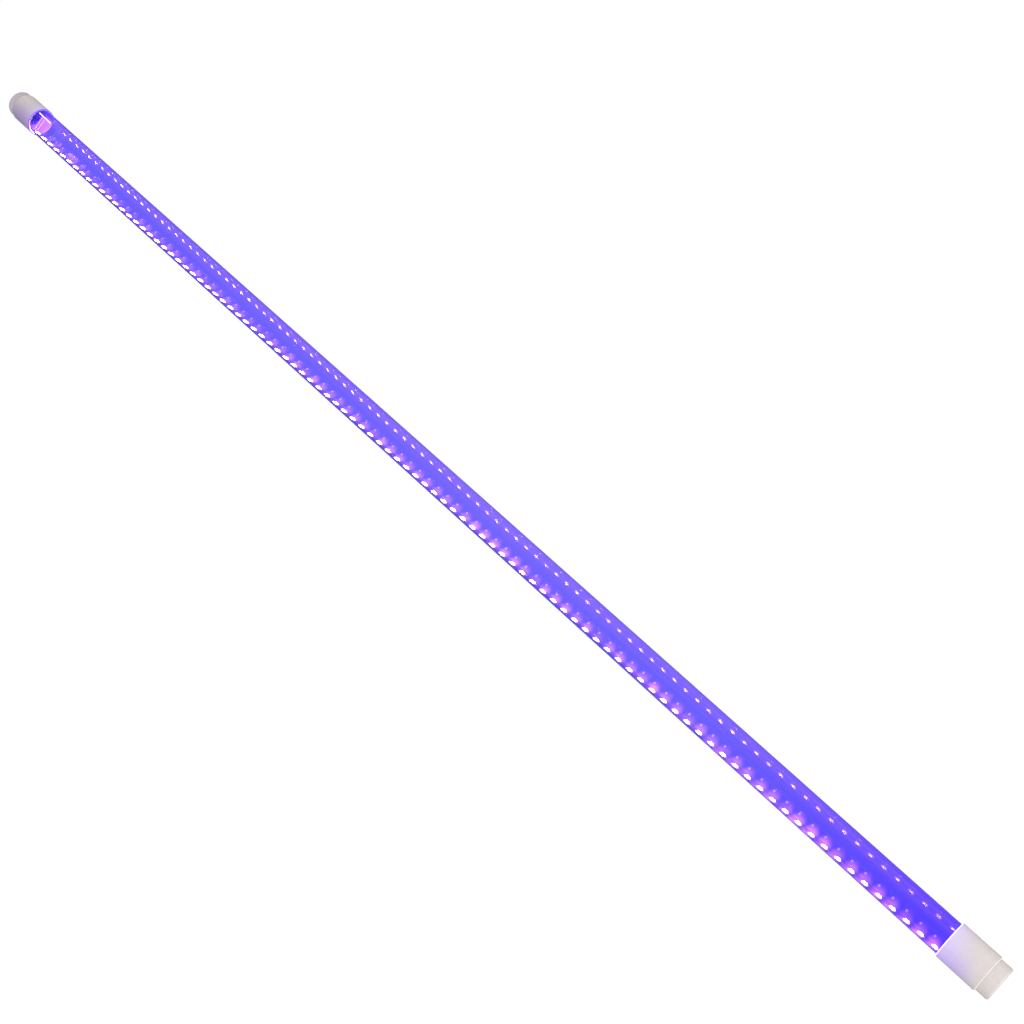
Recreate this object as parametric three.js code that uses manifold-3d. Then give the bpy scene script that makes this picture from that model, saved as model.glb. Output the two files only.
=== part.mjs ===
// LED light tube: a clear glass tube with a row of LEDs stuck to its inner wall and, at each end,
// a white cap with a nose that turns on the tube's axis to aim the light.
//
// Frame: millimetres, origin in the middle of the tube's axis, +X towards the plain end,
// +Z the way the LEDs shine. The driver is in the cap at -X.

import * as THREE from 'three';
import { mergeVertices } from 'three/addons/utils/BufferGeometryUtils.js';
import Module from 'manifold-3d';

const wasm = await Module();
wasm.setup();

// ---- Driving dimensions ----------------------------------------------------------------------

const LENGTH = 1199.4;            // from one nose face to the other
const GAP = 0.3;                  // clearance where two pieces meet
const ROUND_SIDES = 32;           // facets round the large turned pieces
const SMALL_SIDES = 16;           // facets round pins and small round parts

const TUBE_RADIUS = 12.7;
const TUBE_WALL = 0.7;

const CAP_RADIUS = 14.1;
const CAP_LENGTH = 31;            // from the mouth to the shoulder behind the nose
const CAP_EDGE = 0.8;             // rounding at the shoulder
const CAP_MOUTH_EDGE = 0.35;      // rounding at the mouth
const CAP_FRONT_WALL = 2.6;
const TUBE_SOCKET_DEPTH = 18.5;   // from the mouth to the ledge that the tube is glued against

const NOSE_RADIUS = 12.95;
const NOSE_LENGTH = 9.5;          // from the end face to the cap's shoulder
const NOSE_EDGE = 1.5;            // rounding round the end face
const NOSE_FLOOR = 2;
const HUB_RADIUS = 10;
const HUB_BORE_RADIUS = 8.3;
const HUB_END = 15;               // distances along an end are counted from the nose's face inwards
const HUB_GROOVE_RADIUS = 9.2;

const SWING = THREE.MathUtils.degToRad(90);     // how far a nose turns each way
const LUG_ANGLE = THREE.MathUtils.degToRad(16); // width of the lug that stops it
const LUG_INNER_RADIUS = 11.5;
const LUG_OUTER_RADIUS = 12.6;
const LUG_HEIGHT = 0.8;

const PIN_SPACING = 12.7;
const PIN_RADIUS = 1.175;
const PIN_RECESS = 0.6;           // how far the pins' tips sit behind the nose's face
const PIN_COLLAR_RADIUS = 1.7;
const PIN_TAIL_RADIUS = 0.9;
const PIN_TAIL_END = 14.5;
const CONTACT_SLOT_WIDTH = 6.6;

const LED_COUNT = 96;
const LED_PITCH = 11.7;
const LED_SIZE = new THREE.Vector3(2.8, 3.5, 0.65);
const LED_LENS_INSET = 0.35;      // how far the top of an LED package is drawn in
const LED_BOARD_WIDTH = 7;
const LED_BOARD_THICKNESS = 0.5;
const LED_BOARD_TOP = -10.6;      // height of the board's face above the tube's axis
const LED_BOARD_OVERLAP = 6;      // how far each board reaches into its cap

const DRIVER_ROLL = THREE.MathUtils.degToRad(-13); // the driver sits a little turned about the axis
const DRIVER_START = 17;
const DRIVER_END = 40.6;
const DRIVER_BOARD_HALF_WIDTH = 9.2;
const DRIVER_BOARD_BOTTOM = 5.4;
const DRIVER_BOARD_TOP = 6.2;
const LEAD_RADIUS = 0.6;

// ---- Distances that follow from them ---------------------------------------------------------

const MOUTH = NOSE_LENGTH + CAP_LENGTH;
const SHOULDER = NOSE_LENGTH + 0.1;
const NOSE_BACK = NOSE_LENGTH - 0.1;
const WALL_BACK = SHOULDER + CAP_FRONT_WALL;
const LEDGE = MOUTH - TUBE_SOCKET_DEPTH;
const TUBE_END = LEDGE + 2;
const TUBE_BORE_RADIUS = TUBE_RADIUS - TUBE_WALL;
const SOCKET_RADIUS = TUBE_RADIUS + GAP;
const CHAMBER_RADIUS = TUBE_BORE_RADIUS + 0.1;
const HUB_HOLE_RADIUS = HUB_RADIUS + GAP;
const SEAL_RADIUS = 0.55;
const SEAL_RING_RADIUS = 9.95;
const SEAL_CENTRE = SHOULDER + CAP_FRONT_WALL / 2;
const CLIP_START = WALL_BACK + GAP;
const CLIP_THICKNESS = 0.8;
const CLIP_OUTER_RADIUS = 11.4;
const PIN_OFFSET = PIN_SPACING / 2;
const COLLAR_START = NOSE_BACK + GAP;
const COLLAR_END = COLLAR_START + 0.6;
const CARRIER_START = COLLAR_END + GAP;
const CARRIER_END = CARRIER_START + 2;
const LED_BOARD_END = LENGTH / 2 - MOUTH + LED_BOARD_OVERLAP;
const LED_BOARD_BOTTOM = LED_BOARD_TOP - LED_BOARD_THICKNESS;
const UNDER_BOARD = DRIVER_BOARD_BOTTOM - GAP;
const ON_BOARD = DRIVER_BOARD_TOP + GAP;

// ---- Materials -------------------------------------------------------------------------------

function finish(color, roughness, metalness = 0, extra = {}) {
  return new THREE.MeshStandardMaterial({ color, roughness, metalness, ...extra });
}

const clearGlass = finish(0x6a50ff, 0.05, 0, { transparent: true, opacity: 0.35 });
const whitePlastic = finish(0xe6d8d2, 0.42);
const insulation = finish(0x8a5a34, 0.6);
const liner = finish(0xf0eee8, 0.5);
const pinBrass = finish(0xc9a860, 0.3, 1);
const springSteel = finish(0xb4b8bd, 0.3, 1);
const blackRubber = finish(0x1b1b1d, 0.8);
const siliconeGlue = finish(0xf2f0ee, 0.55);
const boardMask = finish(0xf3f1f6, 0.35);
const circuitBoard = finish(0x2f6b3a, 0.5);
const solder = finish(0xc4c6c9, 0.35, 1);
const blackPackage = finish(0x202024, 0.55);
const capacitorCan = finish(0x2b3440, 0.4);
const filmPlastic = finish(0xb3672a, 0.45);
const ferrite = finish(0x3a3638, 0.7);
const fuseGlass = finish(0xd8dccf, 0.2);
const redLead = finish(0xb02420, 0.5);
const blackLead = finish(0x1d1d1f, 0.5);
const whiteLead = finish(0xe9e6e2, 0.5);

// ---- Closed solids ---------------------------------------------------------------------------

// Joins the vertices that a geometry class leaves doubled, drops the triangles that this
// collapses, and turns the faces outwards.
function closed(geometry) {
  geometry.deleteAttribute('normal');
  geometry.deleteAttribute('uv');
  const merged = mergeVertices(geometry, 1e-4);
  const corners = merged.index.array;
  const kept = [];
  for (let i = 0; i < corners.length; i += 3) {
    const [a, b, c] = corners.slice(i, i + 3);
    if (a !== b && b !== c && c !== a) kept.push(a, b, c);
  }
  merged.setIndex(kept);
  if (volume(merged) < 0) merged.setIndex(kept.reverse());
  return merged;
}

function volume(geometry) {
  const at = (i) => new THREE.Vector3().fromBufferAttribute(geometry.attributes.position, i);
  const corners = geometry.index.array;
  let sum = 0;
  for (let i = 0; i < corners.length; i += 3) {
    sum += at(corners[i]).dot(at(corners[i + 1]).cross(at(corners[i + 2]))) / 6;
  }
  return sum;
}

function toSolid(geometry) {
  const vertProperties = new Float32Array(geometry.attributes.position.array);
  const triVerts = new Uint32Array(geometry.index.array);
  return new wasm.Manifold(new wasm.Mesh({ numProp: 3, vertProperties, triVerts }));
}

function toGeometry(solid) {
  const mesh = solid.getMesh();
  const geometry = new THREE.BufferGeometry();
  geometry.setAttribute('position', new THREE.BufferAttribute(mesh.vertProperties, 3));
  geometry.setIndex(new THREE.BufferAttribute(mesh.triVerts, 1));
  return geometry;
}

function cut(body, ...tools) {
  return toGeometry(tools.reduce((solid, tool) => solid.subtract(toSolid(tool)), toSolid(body)));
}

function join(body, ...others) {
  return toGeometry(others.reduce((solid, other) => solid.add(toSolid(other)), toSolid(body)));
}

// ---- Shapes, all laid along X ----------------------------------------------------------------

// A turned solid from its profile of [distance along X, radius].
function turned(profile, sides = ROUND_SIDES) {
  const points = profile.map(([x, radius]) => new THREE.Vector2(radius, x));
  const geometry = new THREE.LatheGeometry(points, sides);
  return closed(geometry.rotateZ(-Math.PI / 2));
}

function ring(start, end, inner, outer, sides) {
  return turned([[start, inner], [start, outer], [end, outer], [end, inner], [start, inner]], sides);
}

function disc(start, end, radius, sides) {
  return turned([[start, 0], [start, radius], [end, radius], [end, 0]], sides);
}

// The points of a quarter turn, for a rounded edge of a profile.
function quarter(x, radius, size, from, steps = 4) {
  return Array.from({ length: steps + 1 }, (_, i) => {
    const angle = from + (i / steps) * Math.PI / 2;
    return [x + size * Math.cos(angle), radius + size * Math.sin(angle)];
  });
}

// A shape drawn in (Y, Z), pulled from one X to another.
function pulled(shape, start, end, curveSegments = 8) {
  const geometry = new THREE.ExtrudeGeometry(shape, {
    depth: end - start, bevelEnabled: false, curveSegments,
  });
  const alongX = new THREE.Matrix4().makeBasis(
    new THREE.Vector3(0, 1, 0), new THREE.Vector3(0, 0, 1), new THREE.Vector3(1, 0, 0));
  return closed(geometry.applyMatrix4(alongX).translate(start, 0, 0));
}

function block(x, y, z) {
  const geometry = new THREE.BoxGeometry(x[1] - x[0], y[1] - y[0], z[1] - z[0]);
  return closed(geometry.translate((x[0] + x[1]) / 2, (y[0] + y[1]) / 2, (z[0] + z[1]) / 2));
}

function sector(start, end, inner, outer, middle, width) {
  const shape = new THREE.Shape();
  shape.absarc(0, 0, outer, middle - width / 2, middle + width / 2, false);
  shape.absarc(0, 0, inner, middle + width / 2, middle - width / 2, true);
  return pulled(shape, start, end, 20);
}

function wire(points, radius, steps = 16) {
  const section = new THREE.Shape();
  section.absarc(0, 0, radius, 0, 2 * Math.PI);
  const path = new THREE.CatmullRomCurve3(points.map((point) => new THREE.Vector3(...point)));
  return closed(new THREE.ExtrudeGeometry(section, { extrudePath: path, steps, curveSegments: 4 }));
}

// ---- The tube and the LED strip in it --------------------------------------------------------

function glassTube() {
  const end = LENGTH / 2 - TUBE_END;
  return ring(-end, end, TUBE_BORE_RADIUS, TUBE_RADIUS);
}

// A package with its four sides drawn in towards the top.
function ledPackage(x) {
  const base = LED_BOARD_TOP - 0.1;
  const geometry = new THREE.BoxGeometry(LED_SIZE.x, LED_SIZE.y, LED_SIZE.z + 0.1);
  const position = geometry.attributes.position;
  for (let i = 0; i < position.count; i += 1) {
    if (position.getZ(i) < 0) continue;
    position.setX(i, position.getX(i) - Math.sign(position.getX(i)) * LED_LENS_INSET);
    position.setY(i, position.getY(i) - Math.sign(position.getY(i)) * LED_LENS_INSET);
  }
  return closed(geometry.translate(x, 0, base + (LED_SIZE.z + 0.1) / 2));
}

// Half of the strip: a narrow board with half of the LEDs soldered to it, on the side that
// `side` gives.
function ledBoard(side) {
  const ends = [GAP / 2, LED_BOARD_END].map((x) => x * side).sort((a, b) => a - b);
  const halfWidth = LED_BOARD_WIDTH / 2;
  const board = block(ends, [-halfWidth, halfWidth], [LED_BOARD_BOTTOM, LED_BOARD_TOP]);
  const packages = Array.from({ length: LED_COUNT / 2 }, (_, i) => (
    ledPackage(side * (i + 0.5) * LED_PITCH)));
  return join(board, ...packages);
}

// The bead of adhesive between a board's flat back and the tube's round wall.
function adhesive(side) {
  const halfWidth = 2.6;
  const radius = TUBE_BORE_RADIUS - GAP;
  const halfAngle = Math.asin(halfWidth / radius);
  const shape = new THREE.Shape();
  shape.moveTo(halfWidth, LED_BOARD_BOTTOM - GAP / 2);
  shape.lineTo(-halfWidth, LED_BOARD_BOTTOM - GAP / 2);
  shape.absarc(0, 0, radius, -Math.PI / 2 - halfAngle, -Math.PI / 2 + halfAngle, false);
  const ends = [2, LED_BOARD_END - 1].map((x) => x * side).sort((a, b) => a - b);
  return pulled(shape, ends[0], ends[1], 6);
}

// One of the two straps that carry the current from board to board in the middle of the tube.
function bridgeStrap(side) {
  const foot = LED_BOARD_TOP + 0.1;
  return block([-2, 2], [side * 2.6 - 0.7, side * 2.6 + 0.7], [foot, foot + 0.25]);
}

// ---- The pieces of an end, from the nose's face inwards --------------------------------------

function cap() {
  const edge = CAP_EDGE;
  const lip = CAP_MOUTH_EDGE;
  const profile = [
    [SHOULDER, HUB_HOLE_RADIUS],
    ...quarter(SHOULDER + edge, CAP_RADIUS - edge, edge, Math.PI, 3).map(([x, r]) => (
      [x, 2 * (CAP_RADIUS - edge) - r])),
    ...quarter(MOUTH - lip, CAP_RADIUS - lip, lip, 0, 2).reverse(),
    [MOUTH, SOCKET_RADIUS],
    [LEDGE, SOCKET_RADIUS],
    [LEDGE, CHAMBER_RADIUS],
    [WALL_BACK, CHAMBER_RADIUS],
    [WALL_BACK, HUB_HOLE_RADIUS],
    [SEAL_CENTRE + 0.6, HUB_HOLE_RADIUS],
    [SEAL_CENTRE + 0.6, HUB_HOLE_RADIUS + 0.5],
    [SEAL_CENTRE - 0.6, HUB_HOLE_RADIUS + 0.5],
    [SEAL_CENTRE - 0.6, HUB_HOLE_RADIUS],
    [SHOULDER, HUB_HOLE_RADIUS],
  ];
  const travel = 2 * SWING + LUG_ANGLE + THREE.MathUtils.degToRad(4);
  const slot = sector(SHOULDER - 1, NOSE_BACK + LUG_HEIGHT + GAP, LUG_INNER_RADIUS - GAP,
    LUG_OUTER_RADIUS + GAP, Math.PI / 2, travel);
  return cut(turned(profile), slot);
}

function nose() {
  const edge = NOSE_EDGE;
  const rim = quarter(edge, NOSE_RADIUS - edge, edge, Math.PI).map(([x, r]) => (
    [x, 2 * (NOSE_RADIUS - edge) - r]));
  const sealGroove = [SEAL_CENTRE - 0.8, SEAL_CENTRE + 0.8];
  const clipGroove = [CLIP_START - 0.25, CLIP_START + CLIP_THICKNESS + 0.25];
  const profile = [
    [0, 0],
    ...rim,
    [NOSE_BACK, NOSE_RADIUS],
    [NOSE_BACK, HUB_RADIUS],
    ...[sealGroove, clipGroove].flatMap(([start, end]) => [
      [start, HUB_RADIUS], [start, HUB_GROOVE_RADIUS], [end, HUB_GROOVE_RADIUS], [end, HUB_RADIUS],
    ]),
    [HUB_END, HUB_RADIUS],
    [HUB_END, HUB_BORE_RADIUS],
    [NOSE_BACK, HUB_BORE_RADIUS],
    [NOSE_BACK, 0],
  ];
  const lug = sector(NOSE_BACK - 0.5, NOSE_BACK + LUG_HEIGHT, LUG_INNER_RADIUS, LUG_OUTER_RADIUS,
    Math.PI / 2, LUG_ANGLE);
  const pinHoles = [-1, 1].map((side) => (
    disc(0.5, NOSE_BACK + 0.5, PIN_RADIUS + GAP, SMALL_SIDES).translate(0, side * PIN_OFFSET, 0)));
  return cut(join(turned(profile), lug), contactSlot(), ...pinHoles);
}

// The long round-ended recess that the pins stand in.
function contactSlot() {
  const radius = CONTACT_SLOT_WIDTH / 2;
  const shape = new THREE.Shape();
  shape.absarc(PIN_OFFSET, 0, radius, -Math.PI / 2, Math.PI / 2, false);
  shape.absarc(-PIN_OFFSET, 0, radius, Math.PI / 2, 3 * Math.PI / 2, false);
  return pulled(shape, -1, NOSE_BACK - NOSE_FLOOR);
}

function contactPin(side) {
  const tip = quarter(PIN_RECESS + 0.5, PIN_RADIUS - 0.5, 0.5, Math.PI, 3).map(([x, r]) => (
    [x, 2 * (PIN_RADIUS - 0.5) - r]));
  const profile = [
    [PIN_RECESS, 0],
    ...tip,
    [COLLAR_START, PIN_RADIUS], [COLLAR_START, PIN_COLLAR_RADIUS],
    [COLLAR_END, PIN_COLLAR_RADIUS], [COLLAR_END, PIN_TAIL_RADIUS],
    [PIN_TAIL_END, PIN_TAIL_RADIUS], [PIN_TAIL_END, 0],
  ];
  return turned(profile, SMALL_SIDES).translate(0, side * PIN_OFFSET, 0);
}

// The disc that holds the two pins' tails apart in the hub.
function contactCarrier() {
  const holes = [-1, 1].map((side) => (
    disc(CARRIER_START - 1, CARRIER_END + 1, PIN_TAIL_RADIUS + GAP, SMALL_SIDES)
      .translate(0, side * PIN_OFFSET, 0)));
  return cut(disc(CARRIER_START, CARRIER_END, HUB_BORE_RADIUS - GAP), ...holes);
}

// The open ring that snaps into the hub's groove behind the cap's front wall.
function hubClip() {
  const opening = THREE.MathUtils.degToRad(50);
  return sector(CLIP_START, CLIP_START + CLIP_THICKNESS, HUB_GROOVE_RADIUS + GAP,
    CLIP_OUTER_RADIUS, -Math.PI / 2, 2 * Math.PI - opening);
}

// The rubber ring in the hub's other groove, whose drag holds the nose where it is turned.
function dragRing() {
  const section = Array.from({ length: 9 }, (_, i) => {
    const angle = (i % 8) * Math.PI / 4;
    return [SEAL_CENTRE + SEAL_RADIUS * Math.cos(angle),
      SEAL_RING_RADIUS + SEAL_RADIUS * Math.sin(angle)];
  });
  return turned(section);
}

function glueRing() {
  return ring(LEDGE + GAP, TUBE_END - GAP, CHAMBER_RADIUS + 0.1, SOCKET_RADIUS - 0.2);
}

function pinLink() {
  const start = PIN_TAIL_END + GAP;
  const legs = [[start, PIN_OFFSET, 0], [start + 1, PIN_OFFSET, 0], [start + 2.4, PIN_OFFSET - 1.6, 0]];
  const mirrored = legs.map(([x, y, z]) => [x, -y, z]).reverse();
  return wire([...legs, [start + 2.8, 0, 0], ...mirrored], LEAD_RADIUS, 20);
}

// ---- The driver in the cap at -X -------------------------------------------------------------

function driverBoard() {
  const board = block([DRIVER_START, DRIVER_END],
    [-DRIVER_BOARD_HALF_WIDTH, DRIVER_BOARD_HALF_WIDTH], [DRIVER_BOARD_BOTTOM, DRIVER_BOARD_TOP]);
  const notch = [DRIVER_START - 1, DRIVER_START + 3];
  const corner = DRIVER_BOARD_HALF_WIDTH - 2;
  const notches = [[-DRIVER_BOARD_HALF_WIDTH - 1, -corner], [corner, DRIVER_BOARD_HALF_WIDTH + 1]]
    .map((span) => block(notch, span, [DRIVER_BOARD_BOTTOM - 1, DRIVER_BOARD_TOP + 1]));
  return cut(board, ...notches);
}

function insulatingLiner() {
  return ring(DRIVER_START - 1, TUBE_END - GAP, 11.2, 11.55);
}

// A can with a crimped neck, lying across the board's underside.
function smoothingCapacitor() {
  const radius = 3.15;
  const length = 11;
  const profile = [
    [0, 0], [0, radius - 0.4], [0.4, radius], [length - 2.4, radius],
    [length - 2, radius - 0.4], [length - 1.6, radius - 0.4], [length - 1.2, radius],
    [length - 0.4, radius], [length, radius - 0.4], [length, 0],
  ];
  return turned(profile, 24).rotateZ(Math.PI / 2)
    .translate(DRIVER_START + 1.8 + radius, -8.4, UNDER_BOARD - radius);
}

// A winding between the two halves of its ferrite core.
function driverInductor() {
  const [x, y] = [[DRIVER_START + 1.8, DRIVER_START + 8.1], [3.2, 8.4]];
  const [bottom, top] = [-1.2, UNDER_BOARD];
  const rims = [[bottom, bottom + 1.6], [top - 1.6, top]].map((z) => block(x, y, z));
  const winding = block([x[0] + 1, x[1] - 1], [y[0] + 0.6, y[1] - 0.6], [bottom + 1, top - 1]);
  return join(rims[0], rims[1], winding);
}

function driverPieces() {
  const fuseRadius = 1.3;
  const fuse = disc(DRIVER_START + 7, DRIVER_START + 14, fuseRadius, SMALL_SIDES);
  return [
    ['driver_board', driverBoard(), circuitBoard],
    ['insulating_liner', insulatingLiner(), liner],
    ['smoothing_capacitor', smoothingCapacitor(), capacitorCan],
    ['driver_inductor', driverInductor(), ferrite],
    ['bridge_rectifier', onBoard([6.4, 11], [-2, 2], 2.5), blackPackage],
    ['driver_chip', onBoard([15.6, 20.5], [-2, 2], 1.5), blackPackage],
    ['interference_capacitor', onBoard([12.2, 14.8], [-2.2, 4], 4), filmPlastic],
    ['input_fuse', fuse.translate(0, -4.6, ON_BOARD + fuseRadius), fuseGlass],
  ];
}

// A package on the board's upper face; `x` is counted from the board's outer end.
function onBoard(x, y, height) {
  return block(x.map((along) => DRIVER_START + along), y, [ON_BOARD, ON_BOARD + height]);
}

// A point of the turned driver, in the end's own frame.
function rolled(x, y, z) {
  return new THREE.Vector3(x, y, z).applyAxisAngle(new THREE.Vector3(1, 0, 0), DRIVER_ROLL).toArray();
}

// From the pins' tails, through the notches in the driver board's corners, to its upper face.
function inputLead(side) {
  const face = ON_BOARD + LEAD_RADIUS;
  const start = PIN_TAIL_END + GAP;
  return wire([[start, side * PIN_OFFSET, 0], [start + 0.8, side * PIN_OFFSET, 0.1],
    rolled(16.9, side * 7.5, 2.6), rolled(17.6, side * 8.15, 5.2), rolled(18.2, side * 7.9, face - 0.4),
    rolled(19.6, side * 6.8, face + 0.1), rolled(22, side * 5.2, face)], LEAD_RADIUS, 24);
}

// From the board's inner end almost straight down to the end of the LED board.
function outputLead(side) {
  const foot = LED_BOARD_TOP + 0.2 + LEAD_RADIUS;
  return wire([rolled(DRIVER_END - 1.4, side * 1.8, UNDER_BOARD - 0.2),
    rolled(DRIVER_END - 1.1, side * 1.8, UNDER_BOARD - 1.6), rolled(DRIVER_END - 0.6, side * 1.9, 1),
    [DRIVER_END - 0.6, side * 1.9, -4], [DRIVER_END - 1.4, side * 1.8, -8.6],
    [DRIVER_END - 3, side * 1.7, foot], [DRIVER_END - 4.6, side * 1.7, foot]], LEAD_RADIUS, 28);
}

// ---- Assembly --------------------------------------------------------------------------------

function add(group, name, geometry, material) {
  geometry.computeVertexNormals();
  const mesh = new THREE.Mesh(geometry, material);
  mesh.name = name;
  group.add(mesh);
}

function addEnd(group, name) {
  add(group, `${name}_cap`, cap(), whitePlastic);
  add(group, `${name}_nose`, nose(), whitePlastic);
  add(group, `${name}_contact_carrier`, contactCarrier(), insulation);
  add(group, `${name}_pin_left`, contactPin(-1), pinBrass);
  add(group, `${name}_pin_right`, contactPin(1), pinBrass);
  add(group, `${name}_hub_clip`, hubClip(), springSteel);
  add(group, `${name}_drag_ring`, dragRing(), blackRubber);
  add(group, `${name}_glue_ring`, glueRing(), siliconeGlue);
}

const tube = new THREE.Group();
add(tube, 'clear_tube', glassTube(), clearGlass);
for (const [name, side] of [['driver_half', -1], ['plain_half', 1]]) {
  add(tube, `${name}_led_board`, ledBoard(side), boardMask);
  add(tube, `${name}_adhesive`, adhesive(side), siliconeGlue);
}
add(tube, 'bridge_strap_left', bridgeStrap(-1), solder);
add(tube, 'bridge_strap_right', bridgeStrap(1), solder);

const driverEnd = new THREE.Group();
driverEnd.position.x = -LENGTH / 2;
addEnd(driverEnd, 'driver_end');
const driver = new THREE.Group();
driver.rotation.x = DRIVER_ROLL;
for (const [name, geometry, material] of driverPieces()) add(driver, name, geometry, material);
driverEnd.add(driver);
add(driverEnd, 'input_lead_live', inputLead(1), redLead);
add(driverEnd, 'input_lead_neutral', inputLead(-1), blackLead);
add(driverEnd, 'output_lead_positive', outputLead(1), whiteLead);
add(driverEnd, 'output_lead_negative', outputLead(-1), whiteLead);
tube.add(driverEnd);

const plainEnd = new THREE.Group();
plainEnd.position.x = LENGTH / 2;
plainEnd.rotation.z = Math.PI;
addEnd(plainEnd, 'plain_end');
add(plainEnd, 'plain_end_pin_link', pinLink(), solder);
tube.add(plainEnd);

export default tube;
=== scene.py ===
"""LED light tube: the fine surfaces, finishes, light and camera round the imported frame.

The frame is in metres, with its origin in the middle of the tube, +X towards the plain end and +Z
the way the LEDs shine. Shapes are written here in millimetres and scaled as their meshes are made.
"""

import math

import bmesh
import bpy
from mathutils import Matrix, Vector


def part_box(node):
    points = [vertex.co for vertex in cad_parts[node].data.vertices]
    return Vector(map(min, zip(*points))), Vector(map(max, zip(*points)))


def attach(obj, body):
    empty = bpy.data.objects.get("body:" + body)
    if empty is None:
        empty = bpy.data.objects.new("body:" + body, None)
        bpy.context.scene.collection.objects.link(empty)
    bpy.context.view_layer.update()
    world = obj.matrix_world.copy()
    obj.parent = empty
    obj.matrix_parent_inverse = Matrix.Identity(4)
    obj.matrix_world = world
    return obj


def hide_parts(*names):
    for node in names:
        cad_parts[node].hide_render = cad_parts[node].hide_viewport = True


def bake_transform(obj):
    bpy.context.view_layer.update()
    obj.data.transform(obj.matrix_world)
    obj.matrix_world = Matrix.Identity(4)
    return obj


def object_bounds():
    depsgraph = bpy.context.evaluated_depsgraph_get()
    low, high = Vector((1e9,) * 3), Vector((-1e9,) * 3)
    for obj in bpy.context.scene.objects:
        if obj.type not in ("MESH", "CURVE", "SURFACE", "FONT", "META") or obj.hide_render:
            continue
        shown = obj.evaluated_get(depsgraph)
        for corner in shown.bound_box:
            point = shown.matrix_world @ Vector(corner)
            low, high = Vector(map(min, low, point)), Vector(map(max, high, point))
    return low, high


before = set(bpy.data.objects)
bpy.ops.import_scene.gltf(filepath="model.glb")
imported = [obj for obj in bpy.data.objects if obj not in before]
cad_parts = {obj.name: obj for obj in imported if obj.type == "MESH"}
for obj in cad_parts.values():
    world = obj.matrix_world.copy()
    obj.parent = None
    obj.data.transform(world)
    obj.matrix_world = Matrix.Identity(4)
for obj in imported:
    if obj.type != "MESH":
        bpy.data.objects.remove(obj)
cad_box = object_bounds()

MM = 0.001
FINE = 128                # facets round a large turned piece
SMALL = 48                # facets round a pin or another small round part
SHARP = math.radians(35)  # edges sharper than this stay sharp


# ---- Sizes, from the frame where it has them ----

def span(node, axis):
    """Lowest and highest place of a CAD node along an axis, in millimetres."""
    low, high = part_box(node)
    return low[axis] / MM, high[axis] / MM


HALF = cad_box[1][0] / MM       # from the middle to a nose's end face


def end_span(node):
    """How far behind the driver end's face a CAD node starts and stops, in millimetres."""
    return tuple(x + HALF for x in span(node, 0))


# Places along an end are counted from its nose's face, at either end of the lamp.
TUBE_END = HALF - span("clear_tube", 0)[1]
TUBE_R = span("clear_tube", 2)[1]
TUBE_WALL = 0.7
BORE_R = TUBE_R - TUBE_WALL

SHOULDER, MOUTH = end_span("driver_end_cap")
CAP_R = span("driver_end_cap", 2)[1]
FRONT_WALL = 2.6
WALL_BACK = SHOULDER + FRONT_WALL
SOCKET_R = TUBE_R + 0.3
LEDGE = TUBE_END - 2
CHAMBER_R = BORE_R + 0.1

NOSE_R = span("driver_end_nose", 1)[1]
NOSE_BACK = SHOULDER - 0.2
NOSE_EDGE = 1.5
NOSE_FLOOR = 2
HUB_END = end_span("driver_end_nose")[1]
HUB_R = 10
HUB_BORE_R = 8.3
HUB_HOLE_R = 10.3
GROOVE_R = 9.2
SEAL_X = sum(end_span("driver_end_drag_ring")) / 2
SEAL_R = 0.55
SEAL_RING_R = span("driver_end_drag_ring", 2)[1] - SEAL_R
CLIP_X = end_span("driver_end_hub_clip")
CLIP_R = span("driver_end_hub_clip", 1)[1]
LUG_R = (11.5, 12.6)
LUG_HEIGHT = 0.8
LUG_ANGLE = math.radians(16)

PIN_Y = sum(span("driver_end_pin_right", 1)) / 2
PIN_TIP, PIN_TAIL = end_span("driver_end_pin_right")
PIN_R = 1.175
COLLAR_R = 1.7
TAIL_R = 0.9
CARRIER_X = end_span("driver_end_contact_carrier")
SLOT_R = 3.3

LED_COUNT = 96
LED_PITCH = 11.7
LED_LENGTH, LED_WIDTH, LED_HEIGHT = 2.8, 3.5, 0.65
BOARD_END = span("plain_half_led_board", 0)[1]
BOARD_WIDTH = span("plain_half_led_board", 1)[1] * 2
BOARD_BOTTOM = span("plain_half_led_board", 2)[0]
BOARD_TOP = BOARD_BOTTOM + 0.5
LED_TOP = BOARD_TOP + LED_HEIGHT

DRIVER_ROLL = math.radians(-13)
DRIVER_START, DRIVER_END = end_span("driver_board")
DRIVER_HALF_WIDTH = 9.2
DRIVER_BOTTOM, DRIVER_TOP = 5.4, 6.2
LEAD_R = 0.6

ROLLED = Matrix.Rotation(DRIVER_ROLL, 4, "X")
DRIVER_SIDE = Matrix.Translation((-HALF, 0, 0))
PLAIN_SIDE = Matrix.Translation((HALF, 0, 0)) @ Matrix.Rotation(math.pi, 4, "Z")


# ---- Camera ----

def add_object(name, data):
    made = bpy.data.objects.new(name, data)
    bpy.context.collection.objects.link(made)
    return made


def add_camera():
    """Level with the plain end and a metre to the side, so that the driver end runs away from it."""
    place = Vector((0.5974, -0.9683, 0.2229))
    aim = Vector((0.1178, 0.0041, 0.0194))
    data = bpy.data.cameras.new("camera")
    data.sensor_width = 36
    data.lens = 49.2
    data.clip_start = 0.01
    data.clip_end = 200
    camera = add_object("camera", data)
    look = (aim - place).normalized()
    roll = Matrix.Rotation(math.radians(-36.27), 4, look)
    camera.matrix_world = (Matrix.Translation(place) @ roll
                           @ look.to_track_quat("-Z", "Y").to_matrix().to_4x4())
    bpy.context.scene.camera = camera


# ---- Meshes ----

def smooth_bm(bm):
    for face in bm.faces:
        face.smooth = True
    for edge in bm.edges:
        edge.smooth = len(edge.link_faces) == 2 and edge.calc_face_angle() < SHARP


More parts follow.
